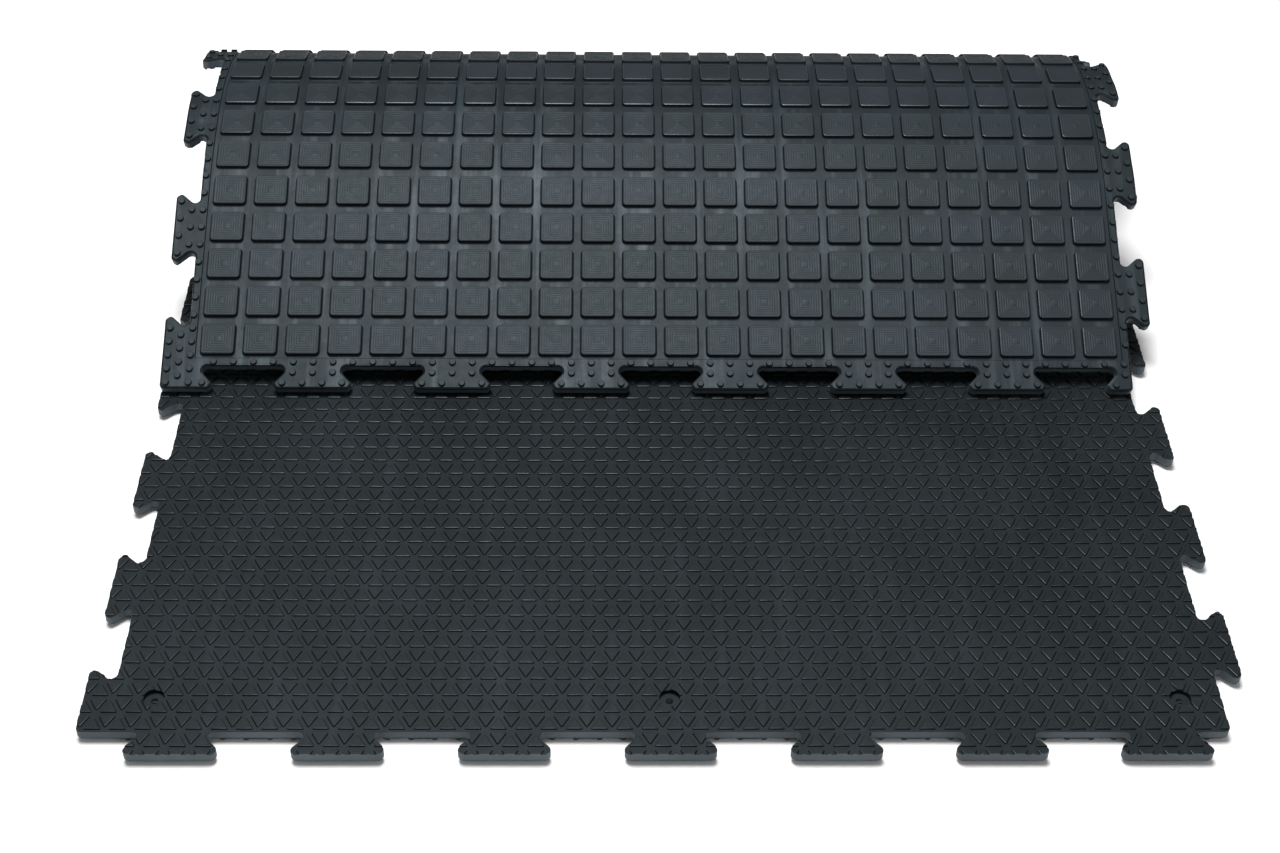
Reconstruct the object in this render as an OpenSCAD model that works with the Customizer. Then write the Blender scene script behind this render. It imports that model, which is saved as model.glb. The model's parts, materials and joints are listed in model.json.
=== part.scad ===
// Interlocking rubber floor mat, folded over on itself: the front half lies
// tread up on the floor, and the rear half is rolled back over it, underside up.
//
// The mat is drawn flat first, in sheet coordinates: x across from the left
// outer line, t along from the front body line, z up from the floor to the
// tread. Each body is a slice of that sheet, turned into place by place(i).
// Hinge lines run across the mat in the channels between rows of studs.

/* [Module] */
// Distance between neighbouring dovetails, along every edge
tab_pitch = 174.3; // [168:0.1:180]
// Whole dovetails across the width
tabs_across = 7; // [6:1:8]
// Whole dovetails along each side, plus half a pitch
tabs_along = 10; // [10:1:11]
// Total thickness, from the floor to the tread
mat_t = 18; // [16:0.5:22]

/* [Underside studs] */
// Distance between stud centres
stud_pitch = 53; // [51:0.5:54]
// Width of a square stud
stud_w = 42.5; // [38:0.5:44]
// Plain margin between the rear sockets and the first stud row
rear_margin = 14; // [12:0.5:20]
// Least plain margin between the front edge and the last stud row
front_margin = 40; // [30:1:60]
// Gap between the floor and the border's underside
border_gap = 4.5; // [3:0.5:6]
// How much thinner the field is than the border
field_step = 1; // [0.5:0.5:2]
// Width of the border beside the field
border_w = 10; // [8:0.5:13]

/* [Dovetails] */
// Depth of a socket, from the outer line to its bottom
dovetail_d = 31; // [28:0.5:34]
// Half width of a socket at its mouth
mouth_half = 37.5; // [37:0.5:41]
// Half width of a socket inside
inner_half = 51; // [50:0.5:54]
// Length of the flared lip at the mouth
lip_l = 7; // [5:0.5:9]
// How far the lip opens
lip_flare = 5; // [3:0.5:7]
// Radius of a socket's inner corners
corner_r = 6.5; // [4:0.5:7]
// Clearance all round a tab in its socket
tab_clear = 0.5; // [0.3:0.1:1]
// Centre of the first side dovetail, in pitches from the front body line
first_side = 0.71; // [0.67:0.01:0.75]

/* [Fixing holes] */
// Distance of the holes behind the front body line
hole_inset_t = 46; // [42:0.5:50]
// Distance of the outer holes from the body's sides
hole_inset_x = 44; // [40:0.5:50]
// Diameter of the through hole
hole_d = 8; // [6:0.5:9]
// Diameter of the counterbore
sink_d = 23; // [18:0.5:26]
// Depth of the counterbore below the tread
sink_depth = 6; // [4:0.5:8]

/* [Fold] */
// Turn at each hinge line but the last, front to rear, in degrees
bends = [24, 35, 42, 38, 25, 12, 10, 8, 5]; // [2:1:45]
// Height of the rear edge above the tread it rests on
rest_gap = 0.6; // [0.4:0.1:1]
// Gap between neighbouring slices when the mat lies flat
slice_gap = 0.4; // [0.3:0.1:0.6]

/* [Hidden] */

rubber = [0.16, 0.18, 0.19];
rubber_edge = [0.20, 0.22, 0.23];
small = 0.01;
// How far a cutting tool reaches past the material, and a stud into the sheet.
overshoot = 1;
bond = 1;
// How far a dovetail's flank runs into its corner circle, so that they cross
flank_bite = 0.05;

// Overall sizes: one module of the mat, without the tabs that stand proud.
mat_w = tabs_across * tab_pitch;
mat_l = (tabs_along + 0.5) * tab_pitch;
body_w = mat_w - dovetail_d;
body_l = mat_l - dovetail_d;
tab_d = dovetail_d - tab_clear;
tab_neck_half = mouth_half - tab_clear;
tab_wide_half = inner_half - tab_clear;

// The field of studs lies between the left and right border lines.
field_x0 = dovetail_d + border_w;
field_x1 = mat_w - border_w;
field_z = border_gap + field_step;
stud_gap = stud_pitch - stud_w;
stud_cols = floor((body_w - 2 * border_w + stud_gap) / stud_pitch);
stud_rows = floor((body_l - front_margin - rear_margin + stud_gap) / stud_pitch);
side_margin = (body_w - stud_cols * stud_pitch + stud_gap) / 2;
rear_stud_t = body_l - rear_margin;

// Hinge lines, in the channels between stud rows. Row 1 is the rear one, and
// flat_rows of them lie beyond the last hinge line.
flat_rows = 5;
hinge_count = len(bends) + 1;
first_hinge_row = hinge_count + flat_rows - 1;
function hinge_t(i) =
    rear_stud_t + stud_gap / 2 - (first_hinge_row - i) * stud_pitch;
function sum_to(v, n) = n < 0 ? 0 : v[n] + sum_to(v, n - 1);

// Rest angle of each slice, and the point on the tread that it turns about.
// The last slice leans so that its rear edge ends just above the tread below.
function pivot_step(i) =
    stud_pitch * [0, cos(slice_angle(i)), sin(slice_angle(i))];
function pivot(i) =
    i == 0 ? [0, hinge_t(0), mat_t] : pivot(i - 1) + pivot_step(i - 1);
function slice_angle(i) =
    i < len(bends) ? sum_to(bends, i)
                   : 180 + asin((pivot(i).z - mat_t - rest_gap)
                                / (mat_l - hinge_t(i)));

// The stud that reaches furthest back in the fold fixes the footprint's middle.
function fold_point(i, t, z) =
    pivot(i) + [0,
        (t - hinge_t(i)) * cos(slice_angle(i)) - (z - mat_t) * sin(slice_angle(i)),
        (t - hinge_t(i)) * sin(slice_angle(i)) + (z - mat_t) * cos(slice_angle(i))];
stud_corners_y = [
    for (i = [0 : hinge_count - 2])
        for (side = [stud_gap / 2, stud_pitch - stud_gap / 2])
            fold_point(i, hinge_t(i) + side, 0).y
];
origin_x = (mat_w + tab_d) / 2;
origin_y = (max(stud_corners_y) - tab_d) / 2;

// Centres of the dovetails: front and rear along x, sides along t.
function across_x(n) =
    dovetail_d + body_w / 2 + (n - (tabs_across - 1) / 2) * tab_pitch;
function side_t(n) = (first_side + n) * tab_pitch;
// Centres of the lugs left standing between the sockets of the left side.
function lug_t(n) = side_t(n) + tab_pitch / 2;

// End of the flank that runs from p along the clockwise side of the circle at c.
function flank_end(p, c) =
    let (v = c - p,
         r = corner_r - flank_bite,
         a = atan2(v.y, v.x) - asin(r / norm(v)),
         l = sqrt(v * v - r * r))
    p + l * [cos(a), sin(a)];
function mirrored(points) =
    concat(points, [for (i = [len(points) - 1 : -1 : 0]) [-points[i].x, points[i].y]]);

// Socket outline: u along the edge, v inward from the outer line.
module socket_2d() {
    corner = [inner_half - corner_r, dovetail_d - corner_r];
    lip = [mouth_half, lip_l];
    polygon(mirrored([
        [mouth_half + lip_flare, -overshoot], [mouth_half + lip_flare, 0], lip,
        flank_end(lip, corner), corner, [corner.x, dovetail_d]
    ]));
    for (side = [-1, 1])
        translate([side * corner.x, corner.y]) circle(r = corner_r, $fn = 32);
}

// Tab outline: u along the edge, v outward from the body line.
module tab_2d() {
    corner = [tab_neck_half + corner_r, corner_r];
    wide = [tab_wide_half, tab_d - lip_l];
    difference() {
        polygon(mirrored([
            [corner.x, -small], [corner.x, corner.y],
            flank_end(wide, corner), wide,
            [tab_wide_half - lip_flare, tab_d]
        ]));
        for (side = [-1, 1])
            translate([side * corner.x, corner.y]) circle(r = corner_r, $fn = 32);
    }
}

module across_sockets_2d() {
    for (n = [0 : tabs_across - 1])
        translate([across_x(n), mat_l]) mirror([0, 1]) socket_2d();
}
module side_sockets_2d() {
    for (n = [0 : tabs_along - 1])
        translate([0, side_t(n)]) rotate(-90) mirror([1, 0]) socket_2d();
}
module side_tab_2d(n) {
    translate([mat_w - small, side_t(n)]) rotate(-90) tab_2d();
}

// Range of t that slice i covers: slice 0 is the front panel on the floor.
function slice_from(i) = i == 0 ? 0 : hinge_t(i - 1) + slice_gap / 2;
function slice_to(i) = i == hinge_count ? mat_l : hinge_t(i) - slice_gap / 2;

// A hinge line that would cut through a dovetail's overhanging corner is moved
// past it, so that the corner stays on the slice that holds its neck.
neck_margin = 3;
tip_margin = 2;
function lug_cut(t, c, neck, wide) =
    abs(t - c) > neck - neck_margin && abs(t - c) < wide + tip_margin
        ? c + sign(t - c) * (wide + tip_margin) : t;

module band(x0, x1, t0, t1) {
    translate([min(x0, x1), t0]) square([abs(x1 - x0), t1 - t0]);
}

// The share of a lug or tab, given as the child, that belongs to slice i. It is
// centred on c and runs from root_x, on the border, out to tip_x. Its root is
// cut at the hinge lines, and its overhanging corners past them.
module lug_share(i, c, neck, wide, root_x, tip_x) {
    out = sign(tip_x - root_x);
    cut_from = lug_cut(slice_from(i), c, neck, wide);
    cut_to = lug_cut(slice_to(i), c, neck, wide);
    intersection() {
        children();
        union() {
            band(root_x, root_x + out * corner_r, slice_from(i), slice_to(i));
            band(root_x + out * (corner_r + slice_gap), tip_x, cut_from, cut_to);
            band(root_x, tip_x, max(cut_from, slice_from(i)), min(cut_to, slice_to(i)));
        }
    }
}

// Left edge of slice i: the border and the lugs between the sockets.
module left_edge_2d(i) {
    neck = tab_pitch / 2 - inner_half;
    wide = tab_pitch / 2 - mouth_half;
    band(dovetail_d - small, field_x0, slice_from(i), slice_to(i));
    for (n = [-1 : tabs_along - 1])
        lug_share(i, lug_t(n), neck, wide, dovetail_d, 0)
            difference() {
                band(0, dovetail_d, n < 0 ? 0 : side_t(n),
                     n == tabs_along - 1 ? mat_l : side_t(n + 1));
                side_sockets_2d();
            }
}

// Right edge of slice i: the border and the tabs that stand out from it.
module right_edge_2d(i) {
    band(field_x1, mat_w, slice_from(i), slice_to(i));
    for (n = [0 : tabs_along - 1])
        lug_share(i, side_t(n), tab_neck_half, tab_wide_half, mat_w - small, mat_w + tab_d)
            side_tab_2d(n);
}

// Border material: from the border's underside to the tread.
module border_solid() {
    translate([0, 0, border_gap]) linear_extrude(mat_t - border_gap) children();
}

// Studs of the rows from row a (nearer the front) to row b.
module studs(a, b) {
    linear_extrude(field_z + bond)
        for (row = [b : a], col = [0 : stud_cols - 1])
            translate([dovetail_d + side_margin + col * stud_pitch,
                       rear_stud_t - stud_w - (row - 1) * stud_pitch])
                square(stud_w);
}
module field(t0, t1, a, b) {
    translate([field_x0, t0, field_z])
        cube([field_x1 - field_x0, t1 - t0, mat_t - field_z]);
    studs(a, b);
}

// Puts sheet coordinates into the part's frame; slice 0 stays on the floor.
module place(i) {
    translate([-origin_x, -origin_y, 0])
        if (i == 0) children();
        else
            translate(pivot(i - 1)) rotate([slice_angle(i - 1), 0, 0])
                translate([0, -hinge_t(i - 1), -mat_t]) children();
}

module fixing_holes() {
    for (x = [dovetail_d + hole_inset_x, dovetail_d + body_w / 2, mat_w - hole_inset_x])
        translate([x, hole_inset_t, 0]) {
            translate([0, 0, -overshoot])
                cylinder(d = hole_d, h = mat_t + 2 * overshoot, $fn = 48);
            translate([0, 0, mat_t - sink_depth])
                cylinder(d = sink_d, h = sink_depth + overshoot, $fn = 48);
        }
}

module front_panel() {
    color(rubber) place(0)
        difference() {
            field(border_w, slice_to(0), stud_rows, first_hinge_row + 1);
            fixing_holes();
        }
}
module front_tab_edge() {
    color(rubber_edge) place(0) border_solid() {
        band(field_x0, field_x1, 0, border_w);
        for (n = [0 : tabs_across - 1])
            translate([across_x(n), small]) mirror([0, 1]) tab_2d();
    }
}
module bend_strip(i) {
    color(rubber) place(i)
        field(slice_from(i), slice_to(i), first_hinge_row - i + 1, first_hinge_row - i + 1);
}
module left_edge(i) {
    color(rubber_edge) place(i) border_solid() left_edge_2d(i);
}
module right_edge(i) {
    color(rubber_edge) place(i) border_solid() right_edge_2d(i);
}
module rear_panel() {
    color(rubber) place(hinge_count)
        field(slice_from(hinge_count), body_l - border_w, first_hinge_row - hinge_count + 1, 1);
}
module rear_socket_edge() {
    color(rubber_edge) place(hinge_count) border_solid() difference() {
        band(field_x0, field_x1, body_l - border_w, mat_l);
        across_sockets_2d();
    }
}

front_panel();
front_tab_edge();
left_edge(0);  // front_left_edge
right_edge(0);  // front_right_edge
for (i = [1 : hinge_count - 1]) {
    bend_strip(i);
    left_edge(i);
    right_edge(i);
}
rear_panel();
rear_socket_edge();
left_edge(hinge_count);  // rear_left_edge
right_edge(hinge_count);  // rear_right_edge
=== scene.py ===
"""Interlocking rubber floor mat, its rear half rolled back over the front half.

The mat is drawn flat in sheet coordinates, in millimetres: x across from the left outer
line, t along from the front body line, and z up from the floor. Each stretch of the
sheet is then laid on the body that carries it, or bent between two of them.
"""

import json
import math

import bpy
import numpy as np
from mathutils import Matrix, Vector
from mathutils.geometry import delaunay_2d_cdt

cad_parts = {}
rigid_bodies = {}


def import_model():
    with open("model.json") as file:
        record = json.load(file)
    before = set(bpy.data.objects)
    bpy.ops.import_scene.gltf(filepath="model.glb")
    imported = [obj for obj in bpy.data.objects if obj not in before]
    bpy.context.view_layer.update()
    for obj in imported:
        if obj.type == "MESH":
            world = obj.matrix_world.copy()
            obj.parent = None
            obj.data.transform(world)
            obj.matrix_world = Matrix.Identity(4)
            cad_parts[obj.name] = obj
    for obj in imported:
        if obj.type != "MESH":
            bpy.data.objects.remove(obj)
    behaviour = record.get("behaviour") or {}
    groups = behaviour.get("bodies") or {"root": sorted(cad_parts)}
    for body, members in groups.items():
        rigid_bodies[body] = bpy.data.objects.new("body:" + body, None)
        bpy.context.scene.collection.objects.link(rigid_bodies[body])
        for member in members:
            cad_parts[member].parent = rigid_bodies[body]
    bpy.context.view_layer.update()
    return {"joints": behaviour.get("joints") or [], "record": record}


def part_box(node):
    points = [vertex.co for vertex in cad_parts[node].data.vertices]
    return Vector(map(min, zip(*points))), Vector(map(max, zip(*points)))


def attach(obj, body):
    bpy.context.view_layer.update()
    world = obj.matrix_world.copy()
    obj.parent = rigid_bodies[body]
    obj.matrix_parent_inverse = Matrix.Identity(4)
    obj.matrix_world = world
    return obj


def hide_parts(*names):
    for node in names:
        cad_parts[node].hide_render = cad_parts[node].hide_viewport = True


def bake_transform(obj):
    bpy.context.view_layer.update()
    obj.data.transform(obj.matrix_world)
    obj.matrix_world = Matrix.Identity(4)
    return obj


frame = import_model()
MM = 0.001

# ---- sizes that come from the frame ----

FOLDS = sorted(frame["joints"], key=lambda j: int(j["name"].split("_")[1]))
BODIES = [FOLDS[0]["parent"]] + [j["child"] for j in FOLDS]
PIVOTS = np.array([j["pos_m"][1:] for j in FOLDS]) / MM
left_edge_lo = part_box("front_left_edge")[0] / MM
right_edge_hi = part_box("front_right_edge")[1] / MM
TREAD_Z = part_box("front_panel")[1].z / MM
BORDER_Z = left_edge_lo.z
LEFT_X, FRONT_Y = left_edge_lo.x, left_edge_lo.y
TAB_D = FRONT_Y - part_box("front_tab_edge")[0].y / MM
MAT_W = right_edge_hi.x - LEFT_X - TAB_D
STUD_PITCH = float(np.linalg.norm(PIVOTS[1] - PIVOTS[0]))
HINGE_T = PIVOTS[0][0] - FRONT_Y + STUD_PITCH * np.arange(len(PIVOTS))

# ---- sizes of the sheet ----

TABS_ACROSS, TABS_ALONG = 7, 10
TAB_PITCH = MAT_W / TABS_ACROSS
MAT_L = (TABS_ALONG + 0.5) * TAB_PITCH
TAB_CLEAR = 0.5
SOCKET_D = TAB_D + TAB_CLEAR
BODY_W, BODY_L = MAT_W - SOCKET_D, MAT_L - SOCKET_D
MOUTH_HALF, INNER_HALF = 37.5, 51    # half widths of a socket, at its mouth and inside
LIP_L, LIP_FLARE, DOVETAIL_R = 7, 5, 6.5
LUG_R, TAB_R = 4.5, 6.6      # rounding of the overhanging corners of lugs and tabs
MAT_CORNER_R = 6
ARC_STEP = math.radians(18)  # turn from one point of a rounded corner to the next
FIRST_SIDE = 0.71            # centre of the first side dovetail, in pitches
EDGE_PROFILE = ((0, 2.6), (0.8, 0.8), (2.6, 0))  # rounding of the lower edge: inward, up

FIELD_STEP = 1              # how much thinner the field between the studs is than the border
FIELD_Z = BORDER_Z + FIELD_STEP
BORDER_W = 10
STEP_W = 1.1                # width of the sloping step between border and field
STUD_W, STUD_R, LEAST_STUD_R = 42.5, 4.6, 0.8
STUD_COLS, STUD_ROWS = 22, 33
REAR_MARGIN = 14
STUD_EMBED = 3              # how far a stud reaches up into the sheet
GROOVES = 5                 # shallow square grooves in a stud's face
FIRST_GROOVE, GROOVE_PITCH = 4.2, 3.1
GROOVE_HALF, GROOVE_DEPTH = 0.6, 0.16

ROUND_STUDS_PER_TAB = 7
ROUND_STUD_PITCH = TAB_PITCH / ROUND_STUDS_PER_TAB
LUG_ROWS = (7.7, 21.8, SOCKET_D + BORDER_W / 2)     # inward from the outer line
TAB_ROWS = (-BORDER_W / 2, 9.2, 22.6)               # outward from the body line
LAST_LUG_STUDS, LAST_LUG_PITCH = 5, 18.6    # a row of the rear left corner lug
ROUND_STUD_RINGS = ((4.6, 0.0), (4.2, 0.4), (4.0, 2.7), (3.4, 3.2))  # radius, height
ROUND_STUD_CLEAR = 0.3      # least gap between a round stud and an edge or the field
ROUND_STUD_REACH = 5        # a round stud lies within this distance of its centre

PAD_SIDE = 26.7             # spacing of the tread's triangles
PAD_ROW = PAD_SIDE * math.sqrt(3) / 2
PAD_X, PAD_T = 630.9, 0.9   # a lattice point of the tread's channels
PAD_GAP = 4.0               # width of a channel between pads
PAD_R = 1.45                # radius of a pad's corners where it meets the channel
WALL_RISE, BRINK_RISE = 0.7, 0.2    # a face that rises more is part of a wall, or of a brink
PAD_PROFILE = ((0.0, -1.7), (0.75, -0.26), (1.35, 0.0))  # inward distance, height

HOLE_T, HOLE_INSET_X = 46, 44
HOLE_R, SINK_R, SINK_DEPTH, SINK_WALL = 4, 11.5, 6, 0.3
HOLE_POINTS, SINK_POINTS, ROUND_STUD_POINTS = 28, 48, 20    # points of each kind of circle
HOLES = [(SOCKET_D + HOLE_INSET_X, HOLE_T), (SOCKET_D + BODY_W / 2, HOLE_T),
         (MAT_W - HOLE_INSET_X, HOLE_T)]

FRONT_CUTS = (13, 6)        # stud rows before the first bend where the front half is cut
BEND_STEPS = 8              # rows of faces across each bend
BEND_PASSES = 40            # rounds that settle where a bent point ends up
OUTLINE_REACH = 40          # outline edges that start further from a stretch are left out
TRIANGLES_INSIDE, MERGE = 1, 1e-3   # how outlines are divided: what is kept, and the tolerance


# ---- outline ----

def fillet(corners):
    """Rounds the corners of a closed outline of (x, y, radius)."""
    points = []
    for i, (x, y, r) in enumerate(corners):
        here = np.array((x, y), float)
        if r == 0:
            points.append(here)
            continue
        back = np.array(corners[i - 1][:2]) - here
        ahead = np.array(corners[(i + 1) % len(corners)][:2]) - here
        back, ahead = back / np.linalg.norm(back), ahead / np.linalg.norm(ahead)
        half = math.acos(np.clip(back @ ahead, -1, 1)) / 2
        middle = here + (back + ahead) / np.linalg.norm(back + ahead) * r / math.sin(half)
        arm = here + back * r / math.tan(half) - middle
        turn = math.copysign(math.pi - 2 * half, ahead[0] * back[1] - ahead[1] * back[0])
        count = max(2, math.ceil(abs(turn) / ARC_STEP))
        for a in np.linspace(0, turn, count + 1):
            c, s = math.cos(a), math.sin(a)
            points.append(middle + (c * arm[0] - s * arm[1], s * arm[0] + c * arm[1]))
    return np.array(points)


def flank_run(depth):
    """How far a dovetail's flank goes sideways between its lip and its base line."""
    du, dv = INNER_HALF - MOUTH_HALF - DOVETAIL_R, depth - LIP_L - DOVETAIL_R
    flank = math.atan2(dv, du) - math.asin(DOVETAIL_R / math.hypot(du, dv))
    return (depth - LIP_L) / math.tan(flank)


def socket_corners():
    """Corners of a socket's right half, from the outer line inward: (u, v, radius)."""
    return [(MOUTH_HALF + LIP_FLARE, 0, LUG_R), (MOUTH_HALF, LIP_L, LUG_R),
            (MOUTH_HALF + flank_run(SOCKET_D), SOCKET_D, DOVETAIL_R)]


def tab_corners():
    """Corners of a tab's right half, from the body line outward: (u, v, radius)."""
    wide = INNER_HALF - TAB_CLEAR
    return [(wide - flank_run(TAB_D), 0, DOVETAIL_R), (wide, TAB_D - LIP_L, TAB_R),
            (wide - LIP_FLARE, TAB_D, TAB_R)]


def whole(half):
    """Both halves of a dovetail, from left to right."""
    return [(-u, v, r) for u, v, r in half] + [(u, v, r) for u, v, r in reversed(half)]


def across_x(n):
    return SOCKET_D + BODY_W / 2 + (n - (TABS_ACROSS - 1) / 2) * TAB_PITCH


def side_t(n):
    return (FIRST_SIDE + n) * TAB_PITCH


def mat_outline():
    """The flat mat's outline, counter-clockwise from the front left corner."""
    r, tab, socket = MAT_CORNER_R, whole(tab_corners()), whole(socket_corners())
    corners = [(0, 0, r)]
    for n in range(TABS_ACROSS):
        corners += [(across_x(n) + u, -v, rad) for u, v, rad in tab]
    corners.append((MAT_W, 0, r))
    for n in range(TABS_ALONG):
        corners += [(MAT_W + v, side_t(n) + u, rad) for u, v, rad in tab]
    corners.append((MAT_W, MAT_L, r))
    for n in reversed(range(TABS_ACROSS)):
        corners += [(across_x(n) - u, MAT_L - v, rad) for u, v, rad in socket]
    corners.append((0, MAT_L, r))
    for n in reversed(range(TABS_ALONG)):
        corners += [(v, side_t(n) - u, rad) for u, v, rad in socket]
    return fillet(corners)


OUTLINE = mat_outline()


def edge_distance(points, outline, chosen=slice(None)):
    """Distance of each point from the outline's chosen edges, and whether it is inside."""
    a, b = outline[chosen], np.roll(outline, -1, axis=0)[chosen]
    best = np.full(len(points), np.inf)
    inside = np.zeros(len(points), bool)
    for (ax, ay), (bx, by) in zip(a, b):
        d = np.array((bx - ax, by - ay))
        rel = points - (ax, ay)
        along = np.clip(rel @ d / max(d @ d, 1e-12), 0, 1)
        best = np.minimum(best, np.linalg.norm(rel - along[:, None] * d, axis=1))
        cross = (ay > points[:, 1]) != (by > points[:, 1])
        if by != ay:
            inside ^= cross & (points[:, 0] < (bx - ax) * (points[:, 1] - ay) / (by - ay) + ax)
    return best, inside


def inset(outline, gap):
    """The outline moved inward by gap, corner by corner."""
    ahead = np.roll(outline, -1, axis=0) - outline
    normal = np.stack((-ahead[:, 1], ahead[:, 0]), axis=1)
    normal /= np.linalg.norm(normal, axis=1)[:, None]
    middle = normal + np.roll(normal, 1, axis=0)
    return outline + 2 * gap * middle / (middle ** 2).sum(axis=1)[:, None]


# ---- tread ----

def pad_cell(x, t):
    """Centre of the tread pad whose triangle holds each point, and whether it points back."""
    band = np.floor((t - PAD_T) / PAD_ROW)
    shift = np.where(band % 2 == 0, 0.0, 0.5)
    v = (t - PAD_T) / PAD_ROW - band
    u = (x - PAD_X) / PAD_SIDE - shift
    m = np.round(u)
    up = np.abs(u - m) <= (1 - v) / 2
    m = np.where(up, m, m + np.where(u > m, 0.5, -0.5))
    rise = np.where(up, 1 / 3, 2 / 3)
    return PAD_X + (m + shift) * PAD_SIDE, PAD_T + (band + rise) * PAD_ROW, up


# A pad's core is the triangle of the centres of its corner arcs, and points along +y.
CORE_INRADIUS = PAD_SIDE / (2 * math.sqrt(3)) - PAD_GAP / 2 - PAD_R
CORE_TURNS = [math.radians(a) for a in (90, 210, 330)]
CORE = [(2 * CORE_INRADIUS * math.cos(a), 2 * CORE_INRADIUS * math.sin(a)) for a in CORE_TURNS]


def core_distance(px, py):
    """Distance of points from a pad's core triangle."""
    best = np.full(np.shape(px), np.inf)
    inside = np.ones(np.shape(px), bool)
    for i, (ax, ay) in enumerate(CORE):
        bx, by = CORE[(i + 1) % 3]
        dx, dy = bx - ax, by - ay
        along = np.clip(((px - ax) * dx + (py - ay) * dy) / (dx * dx + dy * dy), 0, 1)
        best = np.minimum(best, np.hypot(px - ax - along * dx, py - ay - along * dy))
        inside &= dx * (py - ay) - dy * (px - ax) >= 0
    return np.where(inside, 0.0, best)


def tread_height(x, t):
    """Height of the tread at sheet points: pads, channels and counterbores."""
    cx, ct, up = pad_cell(x, t)
    depth = PAD_R - core_distance(x - cx, np.where(up, t - ct, ct - t))
    z = TREAD_Z + np.interp(depth, *zip(*PAD_PROFILE))
    for hx, ht in HOLES:
        r = np.hypot(x - hx, t - ht)
        share = np.clip((SINK_R - r) / SINK_WALL, 0, 1)
        z = z + share * (TREAD_Z - SINK_DEPTH - z)
    return z


def pad_rings(cx, ct, up):
    """The nested outlines of one pad, outermost first."""
    flip = 1 if up else -1
    rings = []
    for inward, _ in PAD_PROFILE:
        r = PAD_R - inward
        ring = []
        for a, (kx, ky) in zip(CORE_TURNS, CORE):
            for turn in range(-60, 61, 40):
                b = a + math.radians(turn)
                ring.append((cx + kx + r * math.cos(b), ct + flip * (ky + r * math.sin(b))))
        rings.append(ring if up else ring[::-1])
    return rings


def circle(cx, cy, r, count):
    return [(cx + r * math.cos(a), cy + r * math.sin(a))
            for a in np.linspace(0, 2 * math.pi, count, endpoint=False)]


def tread_shapes(t0, t1):
    """Closed outlines to draw on the tread between t0 and t1."""
    shapes = []
    rows = range(math.floor((t0 - PAD_T) / PAD_ROW) - 1, math.ceil((t1 - PAD_T) / PAD_ROW) + 1)
    cols = np.arange(math.floor(-PAD_X / PAD_SIDE) - 1,
                     math.ceil((MAT_W + TAB_D - PAD_X) / PAD_SIDE) + 2, 0.5)
    for row in rows:
        for m in cols:
            up = (m + row / 2) % 1 == 0
            cx = PAD_X + m * PAD_SIDE
            ct = PAD_T + (row + (1 / 3 if up else 2 / 3)) * PAD_ROW
            if t0 - PAD_ROW < ct < t1 + PAD_ROW:
                shapes += pad_rings(cx, ct, up)
    for hx, ht in HOLES:
        if t0 < ht < t1:
            shapes += [circle(hx, ht, r, SINK_POINTS) for r in (SINK_R, SINK_R - SINK_WALL)]
    return shapes


# ---- underside ----

def round_stud_centres():
    """Centres of the small round studs of the border, the lugs and the tabs.

    A row is given by its distance from the edge and its shift along it, in pitches. A stud
    that would come within half a pitch of one already placed is left out."""
    s, k = ROUND_STUD_PITCH, np.arange(-2, (TABS_ALONG + 1) * ROUND_STUDS_PER_TAB + 2)
    (near, middle, far), (root, neck, tip) = LUG_ROWS, TAB_ROWS
    last_lug = np.arange(LAST_LUG_STUDS)
    corner = [(d, MAT_L - near - (last_lug + o) * LAST_LUG_PITCH)
              for d, o in ((near, 0), (middle, 0.5), (far, 0))]
    lugs, tabs = ((near, 0.5), (middle, 0), (far, 0)), ((root, 0), (neck, 0), (tip, 0.5))
    lug_t, lug_x = side_t(0) - TAB_PITCH / 2, across_x(0) - TAB_PITCH / 2
    left = [(d, lug_t + (k + o) * s) for d, o in lugs]
    rear = [(lug_x + (k + o) * s, MAT_L - d) for d, o in lugs]
    right = [(MAT_W + d, side_t(0) + (k + o) * s) for d, o in tabs]
    front = [(across_x(0) + (k + o) * s, -d) for d, o in tabs]
    centres = []
    clear = ROUND_STUD_RINGS[0][0] + ROUND_STUD_CLEAR
    for x, t in corner + left + rear + right + front:
        row = np.stack(np.broadcast_arrays(x, t), axis=1).astype(float)
        gap, inside = edge_distance(row, OUTLINE)
        in_field = ((row[:, 0] > FIELD[0] - clear) & (row[:, 0] < FIELD[1] + clear)
                    & (row[:, 1] > FIELD[2] - clear) & (row[:, 1] < FIELD[3] + clear))
        for p in row[inside & (gap > clear) & ~in_field]:
            if all(np.hypot(*(p - c)) > 0.5 * s for c in centres):
                centres.append(p)
    return np.array(centres)


FIELD = (SOCKET_D + BORDER_W, MAT_W - BORDER_W, BORDER_W, BODY_L - BORDER_W)
ROUND_STUDS = round_stud_centres()


def underside_height(x, t):
    """Height of the underside at sheet points: border, field and round studs."""
    inward = np.minimum.reduce([x - FIELD[0], FIELD[1] - x, t - FIELD[2], FIELD[3] - t])
    z = BORDER_Z + (FIELD_Z - BORDER_Z) * np.clip(inward / STEP_W, 0, 1)
    border = inward <= 0
    middle, reach = (t.min() + t.max()) / 2, np.ptp(t) / 2
    close = abs(OUTLINE[:, 1] - middle) < reach + OUTLINE_REACH
    gap, _ = edge_distance(np.column_stack((x, t))[border], OUTLINE, close)
    z[border] += np.interp(gap, *zip(*EDGE_PROFILE))
    radii, drops = zip(*reversed(ROUND_STUD_RINGS))
    for cx, ct in ROUND_STUDS[abs(ROUND_STUDS[:, 1] - middle) < reach + 2 * ROUND_STUD_REACH]:
        r = np.hypot(x - cx, t - ct)
        z = np.where(r < radii[-1], BORDER_Z - np.interp(r, radii, drops), z)
    return z


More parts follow.
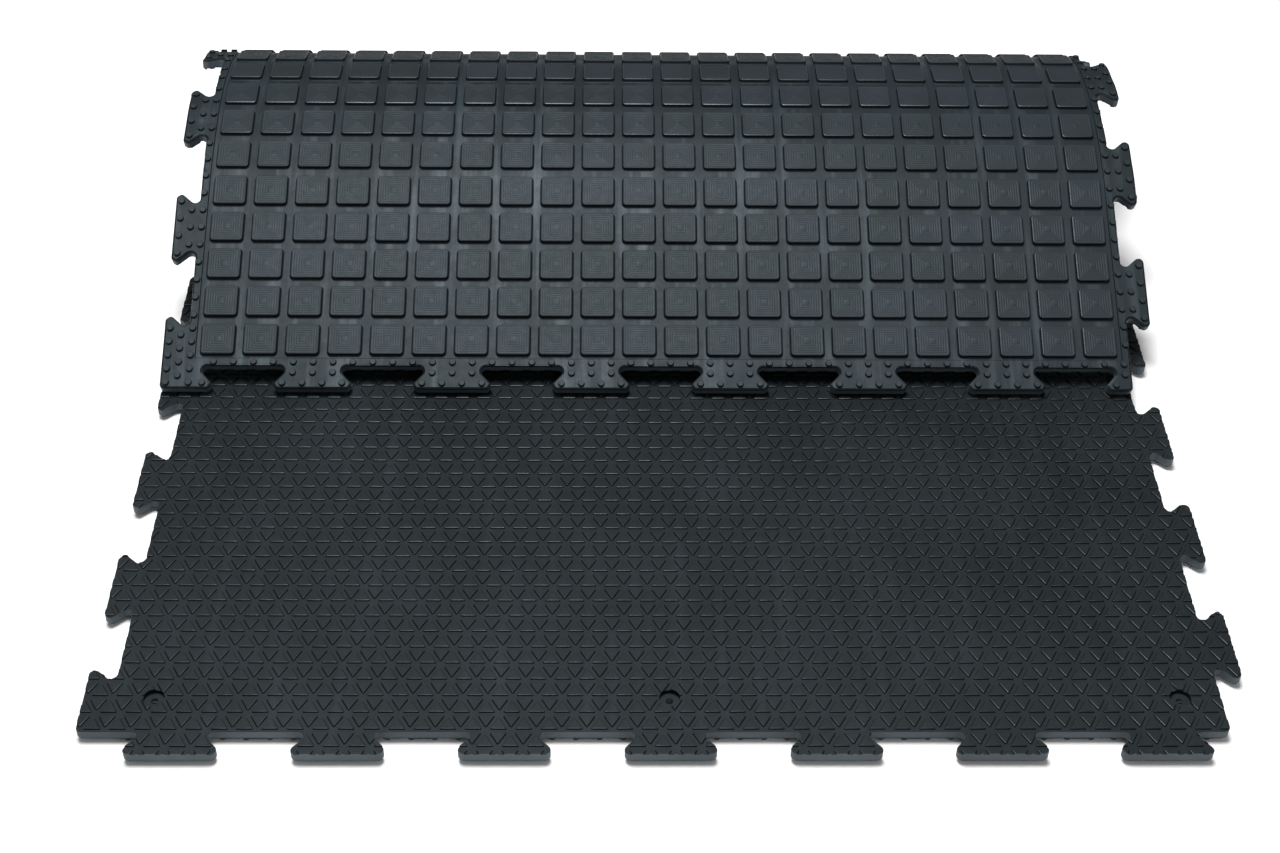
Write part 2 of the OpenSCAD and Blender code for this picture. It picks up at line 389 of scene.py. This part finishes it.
def underside_shapes(t0, t1):
    """Closed outlines to draw on the underside between t0 and t1."""
    shapes = []
    for grow in (0, STEP_W):
        a, b, c, d = FIELD
        shapes.append([(a + grow, c + grow), (b - grow, c + grow),
                       (b - grow, d - grow), (a + grow, d - grow)])
    for cx, ct in ROUND_STUDS:
        if t0 - ROUND_STUD_REACH < ct < t1 + ROUND_STUD_REACH:
            shapes += [circle(cx, ct, r, ROUND_STUD_POINTS) for r, _ in ROUND_STUD_RINGS]
    return shapes + [inset(OUTLINE, gap) for gap, _ in EDGE_PROFILE[1:]]


# ---- planar faces ----

def area_of(points):
    x, y = points[:, 0], points[:, 1]
    return (x @ np.roll(y, -1) - y @ np.roll(x, -1)) / 2


def divide(inside_all, inside_any, outside, shapes, lines):
    """Triangles that lie inside all the first outlines, any of the second and none of the
    third, with shapes and lines drawn across them. Returns the points, the triangles and
    the new number of each outline point given."""
    points, faces, edges = [], [], []
    for loop in [*inside_all, *inside_any, *outside, *shapes]:
        ring = list(range(len(points), len(points) + len(loop)))
        faces.append(ring if area_of(np.array(loop)) > 0 else ring[::-1])
        points += [Vector((float(p[0]), float(p[1]))) for p in loop]
    for start, end in lines:
        edges.append((len(points), len(points) + 1))
        points += [Vector(start), Vector(end)]
    verts, _, tris, verts_from, _, tris_from = delaunay_2d_cdt(
        points, edges, faces, TRIANGLES_INSIDE, MERGE, True)
    first, second = len(inside_all), len(inside_all) + len(inside_any)
    must, some = set(range(first)), set(range(first, second))
    never = set(range(second, second + len(outside)))
    kept = [tri for tri, source in zip(tris, tris_from)
            if must.issubset(source) and (not some or some.intersection(source))
            and not never.intersection(source)]
    used, kept = np.unique(kept, return_inverse=True)
    kept = kept.reshape(-1, 3)
    number = np.full(len(points), -1)
    for new, old in enumerate(used):
        number[verts_from[old]] = new
    verts = np.array([verts[old][:] for old in used], float)
    across, along = (verts[kept[:, k]] - verts[kept[:, 0]] for k in (1, 2))
    clockwise = across[:, 0] * along[:, 1] < across[:, 1] * along[:, 0]
    kept[clockwise] = kept[clockwise][:, ::-1]
    return verts, kept, number


def boundary(tris):
    """The edge after each boundary point, with the faces on its left."""
    edges = list(map(tuple, tris[:, [0, 1, 1, 2, 2, 0]].reshape(-1, 2).tolist()))
    every = set(edges)
    return {a: b for a, b in edges if (b, a) not in every}


def loops_of(after):
    """Closed loops made of the boundary's edges."""
    after, loops = dict(after), []
    while after:
        here, loop = next(iter(after)), []
        while here in after:
            loop.append(here)
            here = after.pop(here)
        loops.append(loop)
    return loops


# ---- where the sheet lies ----

# How far each body is turned up from the floor at rest, from the front panel to the rear.
STEPS = np.diff(PIVOTS, axis=0)
ANGLES = np.concatenate(([0.0], np.unwrap(np.arctan2(STEPS[:, 1], STEPS[:, 0]))))
ANGLES = np.append(ANGLES, ANGLES[-1] + math.radians(FOLDS[-1]["range_deg"][1]))
HALF_STRIP = STUD_PITCH / 2


def on_body(k, t, z):
    """(y, z) in the frame of sheet points that move with body k."""
    if k == 0:
        return np.stack((FRONT_Y + t, z), axis=-1)
    c, s = math.cos(ANGLES[k]), math.sin(ANGLES[k])
    along, up = t - HINGE_T[k - 1], z - TREAD_Z
    return PIVOTS[k - 1] + np.stack((c * along - s * up, s * along + c * up), axis=-1)


def blend_ends(j):
    """Where the bend at hinge j starts and ends: on the tread, half a strip either side."""
    t = HINGE_T[j - 1]
    return on_body(j - 1, t - HALF_STRIP, TREAD_Z), on_body(j, t + HALF_STRIP, TREAD_Z)


def on_bend(j, t, z):
    """(y, z) of sheet points between bodies j - 1 and j.
"""
    start, end = blend_ends(j)
    along = (end - start) / ((end - start) @ (end - start))
    arm = on_body(j - 1, t, z) - PIVOTS[j - 1]
    bend = ANGLES[j] - ANGLES[j - 1]
    turn = np.zeros(len(arm))
    for _ in range(BEND_PASSES):
        c, s = np.cos(turn), np.sin(turn)
        at = PIVOTS[j - 1] + np.stack((c * arm[:, 0] - s * arm[:, 1],
                                       s * arm[:, 0] + c * arm[:, 1]), axis=1)
        share = np.clip((at - start) @ along, 0, 1)
        turn = bend * share * share * (3 - 2 * share)
    return at


# ---- pieces ----

# The walls' material is painted shade, the edges' is painted lighter as painted light, and the
# brinks' is a painted highlight.
TREAD, BRINK, EDGE, UNDER, SHADED_WALL, FOOT = range(6)    # materials of the sheet
# A stud's materials: its own rubber, painted shade on the steep band of its side, and a painted
# highlight on its rim.
FACE, SHADED, RIM = range(3)                  # materials of a stud
SHARP = math.radians(20)    # faces that meet at more than this keep a crisp edge
FRONT_LEAN = 0.3            # least lean of a wall that faces the sheet's front edge
LEVEL = 0.1                 # slack when a face's height is compared with the field's

# A square stud's side, from inside the sheet down to its face: how far a ring lies outside
# the stud's width, its height, and the material from there to the next ring.
STUD_SIDE = ((0, FIELD_Z + STUD_EMBED, FACE), (1.3, FIELD_Z + 0.1, FACE),
             (0.3, FIELD_Z - 0.7, FACE), (-0.1, FIELD_Z - 2.0, SHADED), (-0.7, 0.9, FACE),
             (-1.0, 0.45, RIM), (-2.0, 0.0, FACE))


def make_piece(name, sheet, placed, faces, slots, materials):
    """A Blender object from sheet points, where they lie (y, z), and faces."""
    x = (sheet[:, 0] + LEFT_X) * MM
    mesh = bpy.data.meshes.new(name)
    mesh.from_pydata(np.column_stack((x, placed * MM)), [], faces)
    mesh.attributes.new("sheet", "FLOAT_VECTOR", "POINT").data.foreach_set(
        "vector", (sheet * MM).astype(np.float32).ravel())
    for material in materials:
        mesh.materials.append(material)
    mesh.polygons.foreach_set("material_index", np.asarray(slots, np.int32))
    mesh.polygons.foreach_set("use_smooth", np.ones(len(mesh.polygons), bool))
    mesh.set_sharp_from_angle(angle=SHARP)
    mesh.validate()
    obj = bpy.data.objects.new(name, mesh)
    bpy.context.scene.collection.objects.link(obj)
    return obj


def tread_slots(corners):
    """Materials of the tread's triangles: painted shade on the pads' walls, and a painted
    highlight, with more gloss, on their brinks.
    """
    rise = np.ptp(corners[:, :, 2], axis=1)
    return np.select([rise > WALL_RISE, rise > BRINK_RISE], [SHADED_WALL, BRINK], TREAD).tolist()


def underside_slots(corners):
    """Materials of the underside's triangles: painted shade on the walls of the round studs
    and of the step beside the field, except on walls facing the sheet's front edge, which
    face the light, and the square studs' rubber on the ends of the round ones."""
    rise, top = np.ptp(corners[:, :, 2], axis=1), corners[:, :, 2].max(axis=1)
    normal = np.cross(corners[:, 2] - corners[:, 0], corners[:, 1] - corners[:, 0])
    faces_front = normal[:, 1] < -FRONT_LEAN * np.hypot(normal[:, 0], normal[:, 1])
    wall = (rise > WALL_RISE) & (top < FIELD_Z + LEVEL) & ~faces_front
    return np.select([wall, top < BORDER_Z / 2], [SHADED_WALL, FOOT], UNDER).tolist()


def sheet_piece(name, t0, t1, place, lines=()):
    """The stretch of the sheet between t0 and t1, closed where it is cut."""
    wide = 2 * TAB_D
    a, b = max(t0, -wide), min(t1, MAT_L + wide)
    clip = [(-wide, a), (MAT_W + wide, a), (MAT_W + wide, b), (-wide, b)]
    across = [((-wide, t), (MAT_W + wide, t)) for t in lines]
    bores = [circle(x, t, HOLE_R, HOLE_POINTS) for x, t in HOLES if t0 < t < t1]
    top, top_tris, _ = divide([OUTLINE, clip], [], bores, tread_shapes(a, b), across)
    loops = loops_of(boundary(top_tris))
    outer = [loop for loop in loops if area_of(top[loop]) > 0]
    inner = [loop for loop in loops if area_of(top[loop]) < 0]
    low, low_tris, number = divide([], [top[loop] for loop in outer],
                                   [top[loop] for loop in inner],
                                   underside_shapes(a, b), across)
    after = boundary(low_tris)

    base = len(top)
    sheet = np.vstack((np.column_stack((top, tread_height(*top.T))),
                       np.column_stack((low, underside_height(*low.T)))))
    faces = top_tris.tolist() + (low_tris[:, ::-1] + base).tolist()
    slots = tread_slots(sheet[top_tris]) + underside_slots(sheet[low_tris + base])
    under = iter(number.tolist())
    # The side faces round each cut and outline get the edge rubber, painted lighter as painted
    # light.
    for loop in outer + inner:
        below = [next(under) for _ in loop]
        for i, here in enumerate(loop):
            ahead = loop[(i + 1) % len(loop)]
            chain, last = [below[i]], below[(i + 1) % len(loop)]
            while chain[-1] != last:
                chain.append(after[chain[-1]])
            faces.append([base + v for v in chain] + [ahead, here])
            slots.append(EDGE)
    return make_piece(name, sheet, place(sheet[:, 1], sheet[:, 2]), faces, slots,
                      (tread_rubber, brink_highlight_rubber, lit_edge_rubber, under_rubber, painted_shade_rubber,
                       stud_rubber))


def rounded_square(half, radius, z):
    """A ring of points round a square stud."""
    ring = []
    for quarter in range(4):
        a = math.radians(45 + 90 * quarter)
        kx = (half - radius) * math.copysign(1, math.cos(a))
        ky = (half - radius) * math.copysign(1, math.sin(a))
        for turn in range(-45, 46, 30):
            b = a + math.radians(turn)
            ring.append((kx + radius * math.cos(b), ky + radius * math.sin(b), z))
    return ring


def stud_rings():
    """The rings of one square stud, down its side and in over its grooved face."""
    half = STUD_W / 2
    profile = [(half + out, z) for out, z, _ in STUD_SIDE]
    for i in range(GROOVES):
        at = half - FIRST_GROOVE - i * GROOVE_PITCH
        profile += [(at + GROOVE_HALF, 0.0), (at, GROOVE_DEPTH), (at - GROOVE_HALF, 0.0)]
    return np.array([rounded_square(h, max(STUD_R - (half - h), LEAST_STUD_R), z)
                     for h, z in profile])


def stud_row(row):
    """One row of square studs, on the body that carries it."""
    rings = stud_rings()
    count, per = rings.shape[:2]
    one = rings.reshape(-1, 3)
    quads = []
    for r in range(count - 1):
        for i in range(per):
            k = (i + 1) % per
            quads.append((r * per + i, (r + 1) * per + i, (r + 1) * per + k, r * per + k))
    t = BODY_L - REAR_MARGIN - STUD_W / 2 - (row - 1) * STUD_PITCH
    x0 = SOCKET_D + (BODY_W - (STUD_COLS - 1) * STUD_PITCH) / 2
    sheet, faces = [], []
    for col in range(STUD_COLS):
        base = col * len(one)
        sheet.append(one + (x0 + col * STUD_PITCH, t, 0))
        faces += [[base + v for v in quad] for quad in quads]
        faces.append([base + i for i in range(per)])
        faces.append([base + (count - 1) * per + i for i in reversed(range(per))])
    sheet = np.vstack(sheet)
    k = int(np.sum(HINGE_T < t))
    name = f"stud_row_{row:02d}"
    side_slots = [slot for _, _, slot in STUD_SIDE]
    ring_slots = side_slots + [FACE] * (count - 1 - len(side_slots))
    slots = (np.repeat(ring_slots, per).tolist() + [FACE] * 2) * STUD_COLS
    obj = make_piece(name, sheet, on_body(k, sheet[:, 1], sheet[:, 2]), faces,
                     slots, (stud_rubber, painted_shade_rubber, rim_highlight_rubber))
    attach(obj, BODIES[k])


# ---- materials ----

def rubber(name, dark, light, roughness, gloss, grain, dust, streaks=0):
    """Matt moulded rubber: two mottled shades, specks of dust, fine grain and an uneven
    sheen. Where it has streaks, they are glossier, and painted lighter as a painted reflection."""
    material = bpy.data.materials.new(name)
    material.use_nodes = True
    nodes, links = material.node_tree.nodes, material.node_tree.links
    shader = nodes["Principled BSDF"]
    place = nodes.new("ShaderNodeAttribute")
    place.attribute_name = "sheet"

    def join(value, socket):
        if isinstance(value, bpy.types.NodeSocket):
            links.new(value, socket)
        else:
            socket.default_value = value

    def noise(scale, detail, rough=0.5, stretch=(1, 1, 1)):
        """Noise over the flat sheet, finer where stretch is larger."""
        spread = nodes.new("ShaderNodeVectorMath")
        spread.operation = "MULTIPLY"
        spread.inputs[1].default_value = stretch
        links.new(place.outputs["Vector"], spread.inputs[0])
        node = nodes.new("ShaderNodeTexNoise")
        node.inputs["Scale"].default_value = scale
        node.inputs["Detail"].default_value = detail
        node.inputs["Roughness"].default_value = rough
        links.new(spread.outputs["Vector"], node.inputs["Vector"])
        return node.outputs["Fac"]

    def ramp(value, low, high, bottom=0.0, top=1.0):
        node = nodes.new("ShaderNodeMapRange")
        for socket, number in (("From Min", low), ("From Max", high),
                               ("To Min", bottom), ("To Max", top)):
            node.inputs[socket].default_value = number
        links.new(value, node.inputs["Value"])
        return node.outputs["Result"]

    def times(a, b):
        node = nodes.new("ShaderNodeMath")
        node.operation = "MULTIPLY"
        join(a, node.inputs[0])
        join(b, node.inputs[1])
        return node.outputs[0]

    def mix(share, a, b):
        node = nodes.new("ShaderNodeMix")
        node.data_type = "RGBA"
        for socket, value in zip((node.inputs[0], node.inputs[6], node.inputs[7]), (share, a, b)):
            join(value, socket)
        return node.outputs[2]

    shader.inputs["Specular IOR Level"].default_value = gloss
    shader.inputs["Specular Tint"].default_value = GLOSS_TINT
    mottle = ramp(noise(scale=7, detail=4), 0.36, 0.64)
    shade = mix(mottle, (*dark, 1), (*light, 1))
    if streaks:
        streak = ramp(noise(scale=3, detail=3, rough=0.6, stretch=(14, 1, 1)), 0.50, 0.72)
        # Painted reflection: the streaks are painted lighter, as well as made glossier.
        shade = mix(times(streak, streaks), shade, (*(c * PAINTED_SHEEN_SHADE for c in light), 1))
        links.new(ramp(streak, 0.0, 1.0, gloss, (1 + streaks) * gloss),
                  shader.inputs["Specular IOR Level"])
    fine = ramp(noise(scale=420, detail=3, rough=0.7), 0.60, 0.80)
    patches = ramp(noise(scale=9, detail=5, rough=0.6), 0.44, 0.66)
    dusty = [c * DUST_SHADE + DUST_LIFT for c in light]
    links.new(mix(times(times(fine, patches), dust), shade, (*dusty, 1)),
              shader.inputs["Base Color"])

    sheen = noise(scale=90, detail=4, rough=0.6)
    links.new(ramp(sheen, 0.0, 1.0, roughness - 0.10, roughness + 0.12),
              shader.inputs["Roughness"])

    bump = nodes.new("ShaderNodeBump")
    bump.inputs["Strength"].default_value = grain
    bump.inputs["Distance"].default_value = GRAIN_DEPTH
    links.new(noise(scale=900, detail=5, rough=0.65), bump.inputs["Height"])
    links.new(bump.outputs["Normal"], shader.inputs["Normal"])
    return material


GLOSS_TINT = (0.78, 0.90, 0.97, 1)      # the rubber's bloom reflects a little blue
# Streaks are a painted reflection: this is how much lighter they are painted.
PAINTED_SHEEN_SHADE = 1.5                      # a streak's brightness, against the lighter shade
DUST_SHADE, DUST_LIFT = 2.0, 0.012      # dust against the lighter shade
GRAIN_DEPTH = 0.0004

tread_rubber = rubber("tread_rubber", dark=(0.0062, 0.0082, 0.0094),
                      light=(0.0092, 0.0122, 0.0136),
                      roughness=0.47, gloss=0.19, grain=0.9, dust=0.4, streaks=0.25)
# Painted light: the side faces are painted far lighter than the tread, for the light they catch
# from the floor.
lit_edge_rubber = rubber("lit_edge_rubber", dark=(0.048, 0.062, 0.072), light=(0.074, 0.094, 0.107),
                     roughness=0.55, gloss=0.28, grain=0.6, dust=0.5)
under_rubber = rubber("under_rubber", dark=(0.0070, 0.0106, 0.0120),
                      light=(0.0105, 0.0160, 0.0190),
                      roughness=0.50, gloss=0.20, grain=0.4, dust=0.3, streaks=1.1)
stud_rubber = rubber("stud_rubber", dark=(0.0115, 0.0158, 0.0160),
                     light=(0.0155, 0.0205, 0.0265),
                     roughness=0.50, gloss=0.21, grain=0.4, dust=0.9)
# Painted highlight: the studs' rims are painted a little lighter than their faces, and made
# glossier, to show edge highlights.
rim_highlight_rubber = rubber("rim_highlight_rubber", dark=(0.0130, 0.0175, 0.0190), light=(0.0175, 0.0235, 0.0270),
                    roughness=0.36, gloss=0.42, grain=0.3, dust=0.3)
# Painted highlight: the pads' brinks are painted lighter than the tread, and made glossier, to
# show edge highlights.
brink_highlight_rubber = rubber("brink_highlight_rubber", dark=(0.0090, 0.0120, 0.0138),
                      light=(0.0130, 0.0170, 0.0190),
                      roughness=0.34, gloss=0.28, grain=0.4, dust=0.2)
# Painted shade: near-black rubber on the walls of the tread's channels and on the shaded sides of
# the studs and the step.
painted_shade_rubber = rubber("painted_shade_rubber", dark=(0.0028, 0.0038, 0.0044),
                     light=(0.0044, 0.0058, 0.0066),
                     roughness=0.70, gloss=0.15, grain=0.5, dust=0.0)


# ---- the mat ----

MEMBERS = frame["record"]["behaviour"]["bodies"]
LAST = len(FOLDS)


def front_pieces():
    """The flat front half, in three stretches that meet edge to edge."""
    end = HINGE_T[0] - HALF_STRIP
    cuts = [-math.inf, *(end - rows * STUD_PITCH for rows in FRONT_CUTS), end]
    for n, (t0, t1) in enumerate(zip(cuts, cuts[1:]), 1):
        obj = sheet_piece(f"front_sheet_{n}", t0, t1, lambda t, z: on_body(0, t, z))
        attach(obj, BODIES[0])
        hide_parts(*MEMBERS[BODIES[0]])


def bent_piece(j):
    """The sheet between the middles of two strips, bent about the hinge between them."""
    middle = HINGE_T[j - 1]
    lines = np.linspace(middle - HALF_STRIP, middle + HALF_STRIP, BEND_STEPS + 1)[1:-1]
    obj = sheet_piece(f"bent_sheet_{j:02d}", middle - HALF_STRIP, middle + HALF_STRIP,
                      lambda t, z: on_bend(j, t, z), lines)
    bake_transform(obj)
    if j < LAST:
        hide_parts(*MEMBERS[BODIES[j]])


def rear_piece():
    """The straight rear end of the flap."""
    obj = sheet_piece("rear_sheet", HINGE_T[-1] + HALF_STRIP, math.inf,
                      lambda t, z: on_body(LAST, t, z))
    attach(obj, BODIES[LAST])
    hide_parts(*MEMBERS[BODIES[LAST]])


front_pieces()
for j in range(1, LAST + 1):
    bent_piece(j)
rear_piece()
for row in range(1, STUD_ROWS + 1):
    stud_row(row)


# ---- studio ----

FLOOR_SIZE, FLOOR_ROUGHNESS = 60, 0.9
FLOOR_WHITE = (0.93, 0.93, 0.93, 1)
WORLD_STRENGTH = 0.24
CAMERA_PLACE = (-0.0704, -1.9094, 1.6584)
CAMERA_PITCH, CAMERA_YAW, CAMERA_ROLL = map(math.radians, (41.77, 1.375, 1.062))
CAMERA_LENS, SENSOR_WIDTH = 56.11, 36


def floor():
    mesh = bpy.data.meshes.new("floor")
    far = FLOOR_SIZE / 2
    corners = [(-far, -far, 0), (far, -far, 0), (far, far, 0), (-far, far, 0)]
    mesh.from_pydata(corners, [], [(0, 1, 2, 3)])
    material = bpy.data.materials.new("floor_white")
    material.use_nodes = True
    shader = material.node_tree.nodes["Principled BSDF"]
    shader.inputs["Base Color"].default_value = FLOOR_WHITE
    shader.inputs["Roughness"].default_value = FLOOR_ROUGHNESS
    mesh.materials.append(material)
    obj = bpy.data.objects.new("floor", mesh)
    bpy.context.scene.collection.objects.link(obj)


def soft_light(name, place, target, size, power):
    light = bpy.data.lights.new(name, "AREA")
    light.shape, light.size, light.energy = "DISK", size, power
    obj = bpy.data.objects.new(name, light)
    obj.location = place
    obj.rotation_euler = (Vector(target) - Vector(place)).to_track_quat("-Z", "Y").to_euler()
    bpy.context.scene.collection.objects.link(obj)


def camera():
    """A camera in front of the mat, a little left of its middle, looking down on it."""
    pitch, yaw, roll = CAMERA_PITCH, CAMERA_YAW, CAMERA_ROLL
    level = Vector((math.sin(yaw), math.cos(yaw), 0))
    side = Vector((math.cos(yaw), -math.sin(yaw), 0))
    ahead = level * math.cos(pitch) - Vector((0, 0, 1)) * math.sin(pitch)
    up = Vector((0, 0, 1)) * math.cos(pitch) + level * math.sin(pitch)
    right = side * math.cos(roll) + up * math.sin(roll)
    up = up * math.cos(roll) - side * math.sin(roll)
    data = bpy.data.cameras.new("camera")
    data.sensor_width, data.lens = SENSOR_WIDTH, CAMERA_LENS
    obj = bpy.data.objects.new("camera", data)
    turn = Matrix((right, up, -ahead)).transposed().to_4x4()
    obj.matrix_world = Matrix.Translation(CAMERA_PLACE) @ turn
    bpy.context.scene.collection.objects.link(obj)
    bpy.context.scene.camera = obj


floor()
world = bpy.data.worlds.new("studio")
world.use_nodes = True
world.node_tree.nodes["Background"].inputs["Color"].default_value = (1, 1, 1, 1)
world.node_tree.nodes["Background"].inputs["Strength"].default_value = WORLD_STRENGTH
bpy.context.scene.world = world
soft_light("key", place=(-0.35, 0.2, 3.6), target=(-0.1, 0, 0), size=1.8, power=190)
soft_light("fill", place=(0.6, -3.0, 1.6), target=(0, 0, 0), size=2.0, power=12)
camera()
bpy.context.scene.view_settings.view_transform = "Standard"
